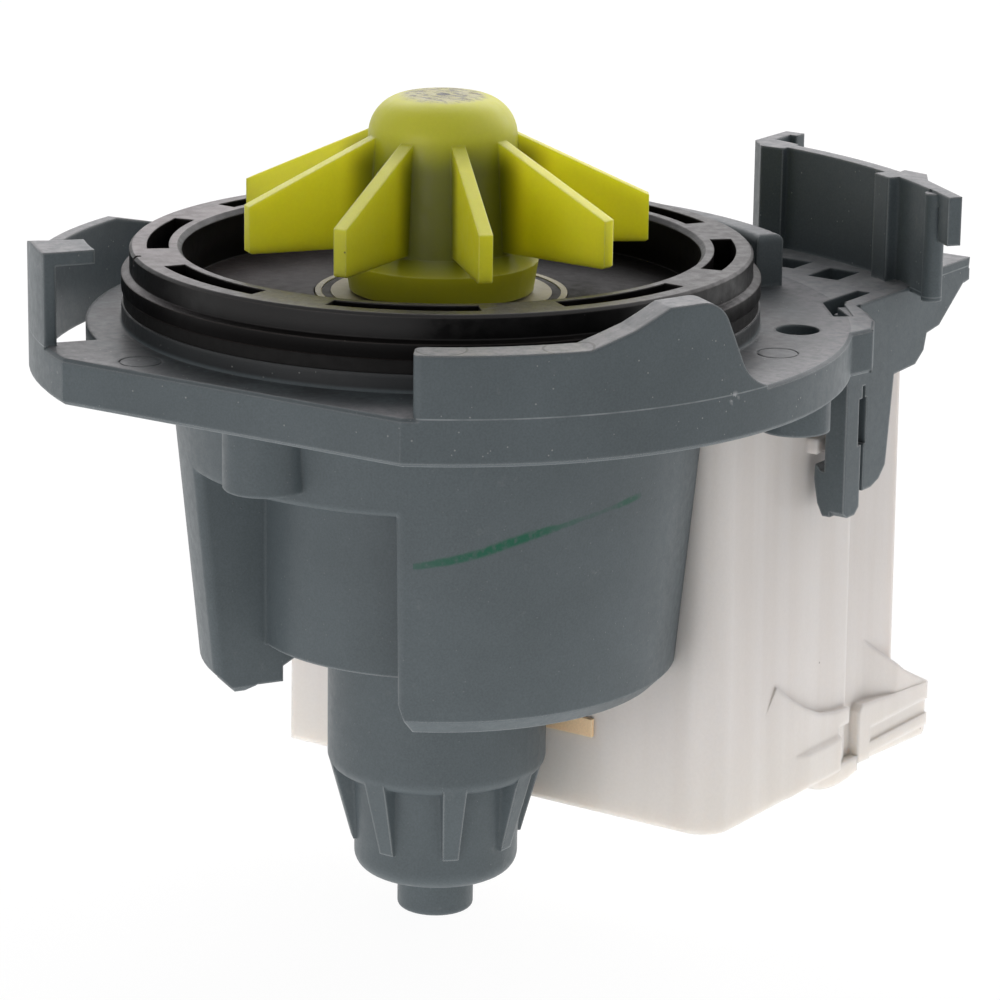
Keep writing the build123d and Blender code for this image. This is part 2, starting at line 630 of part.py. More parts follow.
def drafted_box(half_x, y_low, y_high, z_low, z_high):
    """Box whose two side faces lean outwards on the way down."""
    spread = (z_high - z_low) * math.tan(math.radians(CASING_DRAFT))
    front = Polyline([(-half_x, y_low, z_high), (half_x, y_low, z_high), (half_x + spread, y_low, z_low),
                      (-half_x - spread, y_low, z_low)], close=True)
    return extrude(make_face(front), y_high - y_low, dir=(0, 1, 0))


def rising_plan(inside, start_x, start_y, full_y, full_x):
    """Upright prism whose outer face rises from the wall between two Y, so that a web starts flush."""
    plan = Polyline([(inside, start_y), (start_x, start_y), (full_x, full_y), (full_x, full_y + 20),
                     (inside, full_y + 20)],
                    close=True)
    return Pos(0, 0, CASING_LOW - 10) * extrude(make_face(plan), 40, dir=(0, 0, 1))


def foot():
    """Foot rail, the web above it and the shallow bulge under it, on the right side."""
    face = CASING_X - 1
    outside = CASING_X + FOOT_OUT
    web_top = [(21.4, -48.8), (24.8, -43.6), (27.2, -45.4), (30.4, -47.4), (34.2, -49.1), (37.6, -49.8),
               (40.9, -50.1)]
    web = plate_x(web_top + [(40.9, -52.0), (38.7, -52.0), (38.7, -57), (21.4, -57)], face, outside + 0.1)
    rail = block(face, outside + 0.5, 21.6, 38.7, CASING_LOW + 0.3, -52.8)
    rail = chamfer(rail.edges().filter_by(Axis.Y).group_by(Axis.X)[-1], 0.5)
    rim = ThreePointArc((CASING_X - 0.1, 31.9, CASING_LOW + 0.3), (CASING_X - 0.1, 39.3, -59.1),
                        (CASING_X - 0.1, 43.4, -58.6))
    back = Polyline((CASING_X - 0.1, 43.4, -58.6), (CASING_X - 0.1, 43.4, -56.8),
                    (CASING_X - 0.1, 31.9, -56.8), (CASING_X - 0.1, 31.9, CASING_LOW + 0.3))
    bulge = extrude(make_face([rim, back]), FOOT_OUT + 0.1, dir=(1, 0, 0))
    return ((web + rail) & rising_plan(face - 1, CASING_X + 0.1, 21.0, 32.0, outside + 0.6)) + bulge


def catch():
    """Ledge that the clip leg's barb holds under."""
    return plate_x([(30.4, -15.6), (34.2, -15.6), (34.2, -17.3), (30.4, -17.3)], CASING_X - 0.5,
                   CASING_X + FOOT_OUT + 0.5)


def coil_casing():
    box = drafted_box(CASING_X, SPLIT_Y, CASING_BACK, CASING_LOW, CASING_TOP)
    front = box.faces().sort_by(Axis.Y)[0].edges().sort_by(Axis.X)
    box = fillet(front[-1], CORNER_R)
    front = box.faces().sort_by(Axis.Y)[0].edges().sort_by(Axis.X)
    box = fillet(front[0], LEFT_CORNER_R)
    wall = CASING_WALL
    box -= block(wall - CASING_X, CASING_X - wall, SPLIT_Y + wall, CASING_BACK + 1, CASING_LOW + wall,
                 CASING_TOP - wall)
    box -= disc(CAN_R + 0.05, CASING_LOW - 3, CASING_TOP + 1)
    legs = bobbin_block(0.1, SPLIT_Y - 1, SPLIT_Y + 3)
    box -= mirrored_pair(legs)
    box += mirrored_pair(foot() + catch())
    box -= block(*TONGUE_X, SPLIT_Y - 1, SPLIT_Y + TONGUE_D, *TONGUE_Z)
    return box


def insulation_tongue():
    return block(*TONGUE_X, SPLIT_Y - 0.5, SPLIT_Y + TONGUE_D, *TONGUE_Z)


def ear():
    """Ear at the foot of the cover, with the curved web above it."""
    outside = CASING_X + FOOT_OUT
    web_top = [(45.3, -42.8), (48.1, -44.9), (51.0, -46.8), (54.2, -49.0), (57.0, -50.4), (60.1, -51.9)]
    gusset = plate_x(web_top + [(60.1, -54), (45.3, -54)], COVER_X - 0.5, outside - 0.1)
    bar = plate_x([(43.5, -51.5), (44.2, -50.7), (60.1, -52.0), (60.1, -58.1), (59.6, -58.6), (43.5, -57.8)],
                  COVER_X - 2.5, outside)
    groove = block(outside - 0.3, outside + 1, 46.3, 62, -55.9, -54.1)
    lip = block(outside - 0.3, outside + 1, 46.3, 62, -60, -57.4)
    gusset &= rising_plan(COVER_X - 2, COVER_X + 0.1, 44.8, 53.0, outside)
    return gusset + bar - groove - lip


def coil_cover():
    box = drafted_box(COVER_X, CASING_BACK, COVER_BACK, CASING_LOW, CASING_TOP)
    wall = CASING_WALL
    box -= block(wall - COVER_X, COVER_X - wall, CASING_BACK - 1, COVER_BACK - wall, CASING_LOW + wall,
                 CASING_TOP - wall)
    box += mirrored_pair(ear())
    shroud = block(-PLUG_X, PLUG_X, COVER_BACK - 0.5, PLUG_Y, *PLUG_Z)
    shroud = fillet(shroud.edges().filter_by(Axis.Y), 1.2)
    low, high = PLUG_Z
    mouth = block(PLUG_WALL - PLUG_X, PLUG_X - PLUG_WALL, COVER_BACK, PLUG_Y + 1, low + PLUG_WALL,
                  high - PLUG_WALL)
    return box + shroud - mouth - terminal_blades()


def terminal_blades():
    middle = sum(PLUG_Z) / 2
    blade = block(*BLADE_X, COVER_BACK - CASING_WALL, PLUG_Y - 1.5, middle - BLADE_T / 2,
                  middle + BLADE_T / 2)
    return mirrored_pair(blade)


PARTS = {
    "pump_housing": pump_housing,
    "chamber_cover": chamber_cover,
    "cover_seal": cover_seal,
    "bearing_carrier": bearing_carrier,
    "carrier_ring": carrier_ring,
    "shaft_seal": shaft_seal,
    "front_bearing": lambda: bearing(FRONT_BEARING),
    "front_bearing_seat": lambda: bearing_seat(FRONT_BEARING),
    "rear_bearing": lambda: bearing(REAR_BEARING),
    "rear_bearing_seat": lambda: bearing_seat(REAR_BEARING),
    "shaft": shaft,
    "rotor_magnet": rotor_magnet,
    "rotor_carrier": rotor_carrier,
    "front_thrust_washer": lambda: thrust_washer(-7.3, -6.7),
    "rear_thrust_washer": lambda: thrust_washer(REAR_BEARING[1] + 0.1, REAR_BEARING[1] + 0.7),
    "drive_dog": drive_dog,
    "impeller": impeller,
    "dog_bumper": dog_bumper,
    "hub_retainer": hub_retainer,
    "core_leg_right": lambda: core_leg(1),
    "core_leg_left": lambda: core_leg(-1),
    "core_yoke": core_yoke,
    "bobbin_right": lambda: bobbin(1),
    "bobbin_left": lambda: bobbin(-1),
    "winding_right": lambda: winding(1),
    "winding_left": lambda: winding(-1),
    "thermal_fuse": thermal_fuse,
    "coil_casing": coil_casing,
    "coil_cover": coil_cover,
    "terminal_blades": terminal_blades,
    "insulation_tongue": insulation_tongue,
}

os.makedirs("parts", exist_ok=True)
for name, build in PARTS.items():
    export_step(build(), "parts/" + name + ".step")
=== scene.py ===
import json
import math

import bpy
from mathutils import Matrix, Vector


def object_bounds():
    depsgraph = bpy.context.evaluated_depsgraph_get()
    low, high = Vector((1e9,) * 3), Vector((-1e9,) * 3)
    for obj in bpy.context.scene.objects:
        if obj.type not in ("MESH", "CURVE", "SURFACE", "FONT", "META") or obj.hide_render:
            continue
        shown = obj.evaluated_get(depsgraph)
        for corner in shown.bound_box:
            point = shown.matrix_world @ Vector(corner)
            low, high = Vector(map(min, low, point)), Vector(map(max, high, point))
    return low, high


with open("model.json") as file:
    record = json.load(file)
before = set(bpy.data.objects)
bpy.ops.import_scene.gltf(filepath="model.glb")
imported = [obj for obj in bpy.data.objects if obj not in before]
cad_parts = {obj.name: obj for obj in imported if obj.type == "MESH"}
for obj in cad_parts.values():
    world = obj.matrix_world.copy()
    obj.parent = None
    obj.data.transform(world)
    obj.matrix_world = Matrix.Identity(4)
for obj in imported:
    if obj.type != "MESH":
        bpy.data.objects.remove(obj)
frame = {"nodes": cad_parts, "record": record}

CAD_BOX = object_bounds()
MM = 0.001

# Camera, as fitted to the photograph
FOCAL = 4.300                     # focal length over the picture's width
DISTANCE = 0.4691                 # from the camera to the middle of the black ring's top
ELEVATION = math.radians(15.719)
ROLL = math.radians(0.815)
TURN = math.radians(34.059)
RING_TOP = Vector((0, 0, 0.0081))
RING_AT = (-0.05822, -0.25633)    # where the ring's top shows, from the picture's middle, over its width

# Light levels
WORLD_LIGHT = 0.2
LAMP_TINT = (1.0, 0.96, 0.975)
LAMPS = {                         # place to the camera's right, towards it and up; size; power
    "back_light": ((0.0, -0.5, 0.5), 0.7, 3.2),
    "back_right_light": ((0.5, -0.4, 0.3), 0.5, 1.55),
    "front_left_light": ((-0.4, 0.5, 0.0), 0.4, 1.3),
    "high_right_light": ((0.5, 0.2, 0.45), 0.5, 0.35),
}
FLOOR_HALF = 3                    # half the floor's side
FLOOR_GAP = 0.05 * MM             # below the part's lowest point
FLOOR_PAPER = 0.8                 # floor's own grey
TABLE_LIGHT = 1.1                 # glow of the lit table close to the part
TABLE_SPREAD = (0.10, 0.35)       # where that glow starts to fade and where it ends
FLOOR_WHITE = 0.88                # share of the floor's own white that the camera sees
FLOOR_GLOW = 1.08                 # makes up for the share that lies in shadow

# Places on the part that the materials follow, in millimetres
FLANGE_R = 44.8                   # outside it lies the flange's edge with the parting line
COLLAR_R = (35.2, 35.6)           # painted shade on the collar under the cover, from full to none
FLANGE_SHADE_R = (36, 46)         # painted shade round the cover's foot, from full to none
FLANGE_RUB_R = (38, 43)           # rubbed tops, from none to full
BOWL_SHADE_HEIGHTS = (2, 4.5)            # heights of the bowl's floor, with full painted shade, and of the rim's side, with none
COVER_TOP = (5, 7)                # heights between which the cover turns from side to worn top
SHEEN_AZIMUTH = 190                # side of the black rim's top given a painted sheen, in degrees
HUB_R = (8.5, 12.5)               # from the hub's own colour to the vanes' colour
HUB_SHADE_HEIGHTS = (17, 21.5)              # heights of the painted shade on the hub between the vanes below, and of the unshaded dome above
DOME_SCUFF = (24.2, 24.55)        # heights of the dome's scuffed top
DOME_SCUFF_R = (3.5, 5.5)
GATE_R = (0.6, 0.9)               # dark spot in the middle of the dome
BOX_LOW = (-58, -44)              # yellowed foot of the white box
BOX_SHADE_HEIGHTS = (-58, -25)             # painted shade: darker towards its top, under the skirt and flange
EJECTOR_PADS = [(24.2, -34.6, 6.5), (34.2, -26.7, 7.1)]    # marks on top of the front ramp
EJECTOR_PAD_R = 2.6
NICK_AT = (43.8, -10.2, -0.4)     # small flash nick on the parting line
SKIRT_PEN_R = 28                  # the pen strokes lie outside this radius
# Pen strokes: points as azimuth in degrees and height, pressure along them from 0 to 1
LONG_STROKE = [(-60.5, -20.3), (-49.3, -19.2), (-37.8, -17.5), (-29.7, -16.6), (-7.0, -14.7)]
LONG_PRESS = [(0, 0.5), (0.2, 0.9), (0.45, 1.0), (0.62, 0.5), (0.8, 0.3), (0.93, 0.7), (1, 0.1)]
SHORT_STROKE = [(-138, -24.3), (-120, -23.6)]
SHORT_PRESS = [(0, 0.4), (0.5, 0.35), (1, 0.05)]
SHEET_HALF = 0.5                  # half the thickness of a core sheet
WIRE_R = 0.18                     # radius of the coils' wire


def camera_axes():
    """Right, up and backward directions of the camera."""
    turn = Matrix.Rotation(TURN, 3, "Z")
    back = Vector((0, -math.cos(ELEVATION), math.sin(ELEVATION)))
    level = Vector((1, 0, 0))
    upright = back.cross(level)
    right = math.cos(ROLL) * level + math.sin(ROLL) * upright
    up = math.cos(ROLL) * upright - math.sin(ROLL) * level
    return turn @ right, turn @ up, turn @ back


def add_camera():
    right, up, back = camera_axes()
    centre = RING_TOP + DISTANCE * back
    centre += DISTANCE / FOCAL * (RING_AT[1] * up - RING_AT[0] * right)
    data = bpy.data.cameras.new("camera")
    data.sensor_width = 36
    data.sensor_fit = "HORIZONTAL"
    data.lens = data.sensor_width * FOCAL
    data.clip_start = 0.01
    camera = bpy.data.objects.new("camera", data)
    camera.matrix_world = Matrix.Translation(centre) @ Matrix((right, up, back)).transposed().to_4x4()
    bpy.context.scene.collection.objects.link(camera)
    bpy.context.scene.camera = camera


def add_lamp(name, place, size, power):
    """Square soft light at a place given to the camera's right, towards it and up, aimed at the part."""
    level = Matrix.Rotation(TURN, 3, "Z")
    spot = level @ Vector((place[0], -place[1], place[2]))
    data = bpy.data.lights.new(name, "AREA")
    data.size = size
    data.energy = power
    data.color = LAMP_TINT
    lamp = bpy.data.objects.new(name, data)
    lamp.matrix_world = Matrix.Translation(spot) @ spot.to_track_quat("Z", "Y").to_matrix().to_4x4()
    bpy.context.scene.collection.objects.link(lamp)


def direct_rays(nodes, links):
    """1 for rays from the camera, a reflection or glass, otherwise 0."""
    path = nodes.new("ShaderNodeLightPath")
    first = nodes.new("ShaderNodeMath")
    first.operation = "MAXIMUM"
    links.new(path.outputs["Is Camera Ray"], first.inputs[0])
    links.new(path.outputs["Is Glossy Ray"], first.inputs[1])
    second = nodes.new("ShaderNodeMath")
    second.operation = "MAXIMUM"
    links.new(first.outputs[0], second.inputs[0])
    links.new(path.outputs["Is Transmission Ray"], second.inputs[1])
    return second.outputs[0]


def add_world():
    world = bpy.data.worlds.new("studio")
    bpy.context.scene.world = world
    world.use_nodes = True
    nodes, links = world.node_tree.nodes, world.node_tree.links
    nodes.clear()
    light = nodes.new("ShaderNodeBackground")
    light.inputs["Color"].default_value = (1, 1, 1, 1)
    light.inputs["Strength"].default_value = WORLD_LIGHT
    white = nodes.new("ShaderNodeBackground")
    white.inputs["Color"].default_value = (1, 1, 1, 1)
    white.inputs["Strength"].default_value = 1
    mix = nodes.new("ShaderNodeMixShader")
    out = nodes.new("ShaderNodeOutputWorld")
    links.new(direct_rays(nodes, links), mix.inputs[0])
    links.new(light.outputs[0], mix.inputs[1])
    links.new(white.outputs[0], mix.inputs[2])
    links.new(mix.outputs[0], out.inputs[0])


def add_floor():
    """Pale floor just under the part, which keeps a soft shadow."""
    half = FLOOR_HALF
    low = CAD_BOX[0][2] - FLOOR_GAP
    corners = [(-half, -half, low), (half, -half, low), (half, half, low), (-half, half, low)]
    mesh = bpy.data.meshes.new("floor")
    mesh.from_pydata(corners, [], [(0, 1, 2, 3)])
    floor = bpy.data.objects.new("floor", mesh)
    bpy.context.scene.collection.objects.link(floor)
    material = bpy.data.materials.new("floor")
    material.use_nodes = True
    nodes, links = material.node_tree.nodes, material.node_tree.links
    nodes.clear()
    paper = nodes.new("ShaderNodeBsdfDiffuse")
    paper.inputs["Color"].default_value = (FLOOR_PAPER, FLOOR_PAPER, FLOOR_PAPER, 1)
    place = nodes.new("ShaderNodeTexCoord")
    reach = nodes.new("ShaderNodeVectorMath")
    reach.operation = "LENGTH"
    links.new(place.outputs["Object"], reach.inputs[0])
    falloff = nodes.new("ShaderNodeMapRange")
    falloff.interpolation_type = "SMOOTHSTEP"
    for socket, value in zip(falloff.inputs[1:5], (*TABLE_SPREAD, TABLE_LIGHT, 0.0)):
        socket.default_value = value
    links.new(reach.outputs["Value"], falloff.inputs[0])
    table = nodes.new("ShaderNodeEmission")
    links.new(falloff.outputs[0], table.inputs["Strength"])
    lit_paper = nodes.new("ShaderNodeAddShader")
    links.new(paper.outputs[0], lit_paper.inputs[0])
    links.new(table.outputs[0], lit_paper.inputs[1])
    white = nodes.new("ShaderNodeEmission")
    white.inputs["Strength"].default_value = FLOOR_GLOW
    seen = direct_rays(nodes, links)
    shadowed = nodes.new("ShaderNodeMixShader")
    shadowed.inputs[0].default_value = FLOOR_WHITE
    links.new(paper.outputs[0], shadowed.inputs[1])
    links.new(white.outputs[0], shadowed.inputs[2])
    mix = nodes.new("ShaderNodeMixShader")
    out = nodes.new("ShaderNodeOutputMaterial")
    links.new(seen, mix.inputs[0])
    links.new(lit_paper.outputs[0], mix.inputs[1])
    links.new(shadowed.outputs[0], mix.inputs[2])
    links.new(mix.outputs[0], out.inputs[0])
    mesh.materials.append(material)


def linear(red, green, blue):
    """Scene-linear colour of an 8-bit screen colour."""
    values = []
    for value in (red, green, blue):
        value /= 255
        values.append(value / 12.92 if value <= 0.04045 else ((value + 0.055) / 1.055) ** 2.4)
    return (*values, 1)


class Look:
    """A material under construction: a Principled shader with helpers that add nodes to it."""

    def __init__(self, name):
        self.material = bpy.data.materials.new(name)
        self.material.use_nodes = True
        self.nodes = self.material.node_tree.nodes
        self.links = self.material.node_tree.links
        self.nodes.clear()
        out = self.nodes.new("ShaderNodeOutputMaterial")
        self.shader = self.nodes.new("ShaderNodeBsdfPrincipled")
        self.links.new(self.shader.outputs[0], out.inputs[0])
        self.place = self.nodes.new("ShaderNodeTexCoord").outputs["Object"]
        self.parts = self.add("ShaderNodeSeparateXYZ", self.place)
        self.geometry = self.nodes.new("ShaderNodeNewGeometry")

    def add(self, kind, *values, **settings):
        """New node with the given settings, whose first inputs are linked or set in order."""
        node = self.nodes.new(kind)
        for name, value in settings.items():
            setattr(node, name, value)
        for socket, value in zip(node.inputs, values):
            self.feed(socket, value)
        return node

    def feed(self, socket, value):
        if value is None:
            return
        if isinstance(value, bpy.types.NodeSocket):
            self.links.new(value, socket)
        else:
            socket.default_value = value

    def math(self, operation, a, b=None):
        return self.add("ShaderNodeMath", a, b, operation=operation).outputs[0]

    def span(self, value, low, high, start=0.0, end=1.0):
        """Smooth rise of value from start at low to end at high."""
        node = self.add("ShaderNodeMapRange", value, low, high, start, end, interpolation_type="SMOOTHSTEP")
        return node.outputs[0]

    def mix(self, share, first, second):
        """Colour between first and second."""
        node = self.nodes.new("ShaderNodeMix")
        node.data_type = "RGBA"
        self.feed(node.inputs[0], share)
        self.feed(node.inputs[6], first)
        self.feed(node.inputs[7], second)
        return node.outputs[2]

    def shade(self, colour, factor):
        """Colour made lighter or darker by a factor."""
        node = self.add("ShaderNodeVectorMath", colour, operation="SCALE")
        self.feed(node.inputs["Scale"], factor)
        return node.outputs[0]

    def noise(self, size, detail=3, rough=0.5, stretch=(1, 1, 1), place=None):
        """Noise from 0 to 1 whose blotches are about size across, in metres."""
        place = place or self.place
        squeeze = tuple(1 / value for value in stretch)
        scaled = self.add("ShaderNodeVectorMath", place, squeeze, operation="MULTIPLY")
        node = self.nodes.new("ShaderNodeTexNoise")
        self.feed(node.inputs["Vector"], scaled.outputs[0])
        node.inputs["Scale"].default_value = 1 / size
        node.inputs["Detail"].default_value = detail
        node.inputs["Roughness"].default_value = rough
        return node.outputs[0]

    def specks(self, spacing, radius):
        """Sparse dots: 1 at their middle, 0 away from them."""
        node = self.nodes.new("ShaderNodeTexVoronoi")
        self.feed(node.inputs["Vector"], self.place)
        node.inputs["Scale"].default_value = 1 / spacing
        chosen = self.span(self.noise(spacing * 1.7, 0), 0.58, 0.6)
        dots = self.span(node.outputs["Distance"], radius / spacing, radius / spacing * 0.5)
        return self.math("MULTIPLY", dots, chosen)

    def edges(self, radius):
        """1 on outer edges, 0 on flat faces and in corners: the mask of the painted edge highlights."""
        bevel = self.add("ShaderNodeBevel", radius, samples=4)
        flat = self.geometry.outputs["True Normal"]
        dot = self.add("ShaderNodeVectorMath", bevel.outputs[0], flat, operation="DOT_PRODUCT")
        turned = self.span(dot.outputs["Value"], 0.99, 0.8)
        open_air = self.nodes.new("ShaderNodeAmbientOcclusion")
        open_air.samples = 4
        open_air.only_local = True
        open_air.inputs["Distance"].default_value = 2 * radius
        free = self.span(open_air.outputs["AO"], 0.7, 0.95)
        return self.math("MULTIPLY", turned, free)

    def polar(self):
        """Radius and azimuth in degrees about the part's axis."""
        x, y = self.parts.outputs[0], self.parts.outputs[1]
        radius = self.math("SQRT", self.math("ADD", self.math("MULTIPLY", x, x), self.math("MULTIPLY", y, y)))
        azimuth = self.math("DEGREES", self.math("ARCTAN2", y, x))
        return radius, azimuth

    def facing_up(self):
        """1 on faces that look up."""
        normal = self.add("ShaderNodeSeparateXYZ", self.geometry.outputs["Normal"])
        return self.span(normal.outputs[2], 0.8, 0.98)

    def relief(self, rounding, *layers):
        """Bump from several (height, depth in metres) layers, over edges rounded to a radius."""
        normal = self.add("ShaderNodeBevel", rounding, samples=6).outputs[0]
        for height, depth in layers:
            bump = self.nodes.new("ShaderNodeBump")
            bump.inputs["Strength"].default_value = 1
            bump.inputs["Distance"].default_value = depth
            self.feed(bump.inputs["Height"], height)
            self.feed(bump.inputs["Normal"], normal)
            normal = bump.outputs[0]
        self.feed(self.shader.inputs["Normal"], normal)

    def finish(self, colour, roughness, **sockets):
        self.feed(self.shader.inputs["Base Color"], colour)
        self.feed(self.shader.inputs["Roughness"], roughness)
        for name, value in sockets.items():
            self.feed(self.shader.inputs[name.replace("_", " ")], value)
        return self.material


def curve(look, value, points):
    """Value read off a line through points (input, output), both mapped to 0 to 1 first."""
    node = look.add("ShaderNodeFloatCurve", 1.0, value)
    line = node.mapping.curves[0]
    while len(line.points) < len(points):
        line.points.new(0.5, 0.5)
    for point, (x, y) in zip(line.points, points):
        point.location = (x, y)
    node.mapping.update()
    return node.outputs[0]


def pen_stroke(look, azimuth, height, points, width, strength):
    """Felt-pen line on the skirt through points (azimuth, height in mm), fading as strength says."""
    first, last = points[0][0], points[-1][0]
    low = min(z for _, z in points) - 1
    high = max(z for _, z in points) + 1
    along = look.add("ShaderNodeMapRange", azimuth, first, last, 0.0, 1.0).outputs[0]
    share = [((az - first) / (last - first), (z - low) / (high - low)) for az, z in points]
    line = curve(look, along, share)
    middle = look.add("ShaderNodeMapRange", line, 0.0, 1.0, low * MM, high * MM).outputs[0]
    wobble = look.math("MULTIPLY", look.math("SUBTRACT", look.noise(1.5 * MM, 2), 0.5), 0.35 * MM)
    away = look.math("ABSOLUTE", look.math("SUBTRACT", look.math("ADD", height, wobble), middle))
    press = curve(look, along, strength)
    thin = look.math("DIVIDE", away, look.math("ADD", press, 0.25))
    line = look.span(thin, width * MM, 0.35 * width * MM)
    after = look.math("GREATER_THAN", azimuth, first)
    inside = look.math("MULTIPLY", after, look.math("LESS_THAN", azimuth, last))
    patchy = look.span(look.noise(0.7 * MM, 3, 0.6), 0.3, 0.55, 0.5, 1.0)
    return look.math("MULTIPLY", look.math("MULTIPLY", line, inside), look.math("MULTIPLY", press, patchy))


def distance(look, place):
    """Distance from a place given in millimetres."""
    centre = tuple(value * MM for value in place)
    return look.add("ShaderNodeVectorMath", look.place, centre, operation="DISTANCE").outputs["Value"]


def pad_line(look, place):
    """Thin circle round a place."""
    off = look.math("ABSOLUTE", look.math("SUBTRACT", distance(look, place), EJECTOR_PAD_R * MM))
    return look.span(off, 0.2 * MM, 0.06 * MM)


def flange_wear_and_shade(look, colour, radius, height, up):
    """Parting line round the flange, rubbed tops, painted shade round the cover's foot and painted shade on
    the collar under the cover.
    """
    seam = look.math("MULTIPLY", look.span(look.math("ABSOLUTE", height), 0.11 * MM, 0.04 * MM),
                     look.math("GREATER_THAN", radius, FLANGE_R * MM))
    seam = look.math("MULTIPLY", seam, look.span(look.noise(3 * MM, 3, 0.6), 0.35, 0.65, 0.3, 0.75))
    colour = look.mix(seam, colour, linear(142, 148, 150))
    rubbed = look.math("MULTIPLY", up, look.span(look.noise(1.3 * MM, 5, 0.7), 0.3, 0.65, 0.15, 0.45))
    outer = look.span(radius, FLANGE_RUB_R[0] * MM, FLANGE_RUB_R[1] * MM)
    colour = look.mix(look.math("MULTIPLY", rubbed, outer), colour, linear(172, 168, 170))
    # painted shade: the flange top darkened in patches round the cover's foot
    inner = look.span(radius, FLANGE_SHADE_R[1] * MM, FLANGE_SHADE_R[0] * MM)
    cover_shade = look.math("MULTIPLY", inner, look.span(height, 2 * MM, 0.5 * MM))
    patches = look.span(look.noise(7 * MM, 5, 0.65), 0.3, 0.6, 0.45, 0.9)
    cover_shade = look.math("MULTIPLY", look.math("MULTIPLY", cover_shade, up), patches)
    colour = look.mix(cover_shade, colour, linear(40, 42, 44))
    # painted shade: the collar under the black cover darkened nearly to black
    collar = look.math("MULTIPLY", look.span(radius, COLLAR_R[1] * MM, COLLAR_R[0] * MM),
                       look.span(height, 0.1 * MM, 0.6 * MM))
    return look.mix(look.math("MULTIPLY", collar, 0.85), colour, linear(30, 30, 31))


def ramp_marks(look, colour, up):
    """Rings left by the mould's pins on the front ramp, and a nick in the parting line."""
    for place in EJECTOR_PADS:
        ring = look.math("MULTIPLY", pad_line(look, place), up)
        colour = look.shade(colour, look.span(ring, 0.0, 1.0, 1.0, 0.55))
    nick = look.math("MULTIPLY", look.span(distance(look, NICK_AT), 0.9 * MM, 0.3 * MM),
                     look.span(look.noise(0.7 * MM, 2, 0.5), 0.42, 0.58, 0.0, 0.7))
    return look.mix(nick, colour, linear(178, 180, 182))


def pen_marks(look, colour, radius, azimuth, height):
    """Two green felt-pen strokes on the skirt."""
    long_stroke = pen_stroke(look, azimuth, height, LONG_STROKE, 0.6, LONG_PRESS)
    short_stroke = pen_stroke(look, azimuth, height, SHORT_STROKE, 0.4, SHORT_PRESS)
    ink = look.math("MAXIMUM", long_stroke, short_stroke)
    outside = look.math("GREATER_THAN", radius, SKIRT_PEN_R * MM)
    return look.mix(look.math("MULTIPLY", ink, outside), colour, linear(10, 84, 62))


def grey_plastic():
    """Blue-grey moulding: satin grain, scuffs, dust, a rubbed flange with painted shade round the cover,
    painted edge highlights and pen strokes.
    """
    look = Look("grey_plastic")
    radius, azimuth = look.polar()
    height = look.parts.outputs[2]
    cloud = look.noise(9 * MM, 4, 0.55)
    grain = look.noise(0.22 * MM, 2, 0.6)
    colour = look.mix(cloud, linear(76, 84, 87), linear(90, 99, 103))
    colour = look.shade(colour, look.span(grain, 0.25, 0.75, 0.9, 1.08))
    scuff = look.span(look.noise(2.5 * MM, 6, 0.75), 0.6, 0.78)
    colour = look.mix(look.math("MULTIPLY", scuff, 0.3), colour, linear(122, 126, 126))
    # painted highlight: outer edges made paler, as if they catch the light
    colour = look.mix(look.math("MULTIPLY", look.edges(0.4 * MM), 0.7), colour, linear(164, 169, 171))
    up = look.facing_up()
    colour = flange_wear_and_shade(look, colour, radius, height, up)
    colour = ramp_marks(look, colour, up)
    dust = look.specks(0.9 * MM, 0.12 * MM)
    dusty = look.math("MULTIPLY", dust, look.span(height, -9 * MM, -4 * MM, 0.12, 0.45))
    colour = look.mix(dusty, colour, linear(176, 177, 174))
    colour = pen_marks(look, colour, radius, azimuth, height)
    rough = look.span(look.noise(1.1 * MM, 4, 0.6), 0.25, 0.75, 0.42, 0.56)
    look.relief(0.6 * MM, (look.noise(0.2 * MM, 2), 0.009 * MM), (look.noise(6 * MM, 2), 0.03 * MM),
                (dust, 0.03 * MM))
    return look.finish(colour, rough, Specular_IOR_Level=0.25, Coat_Weight=0.13, Coat_Roughness=0.25)


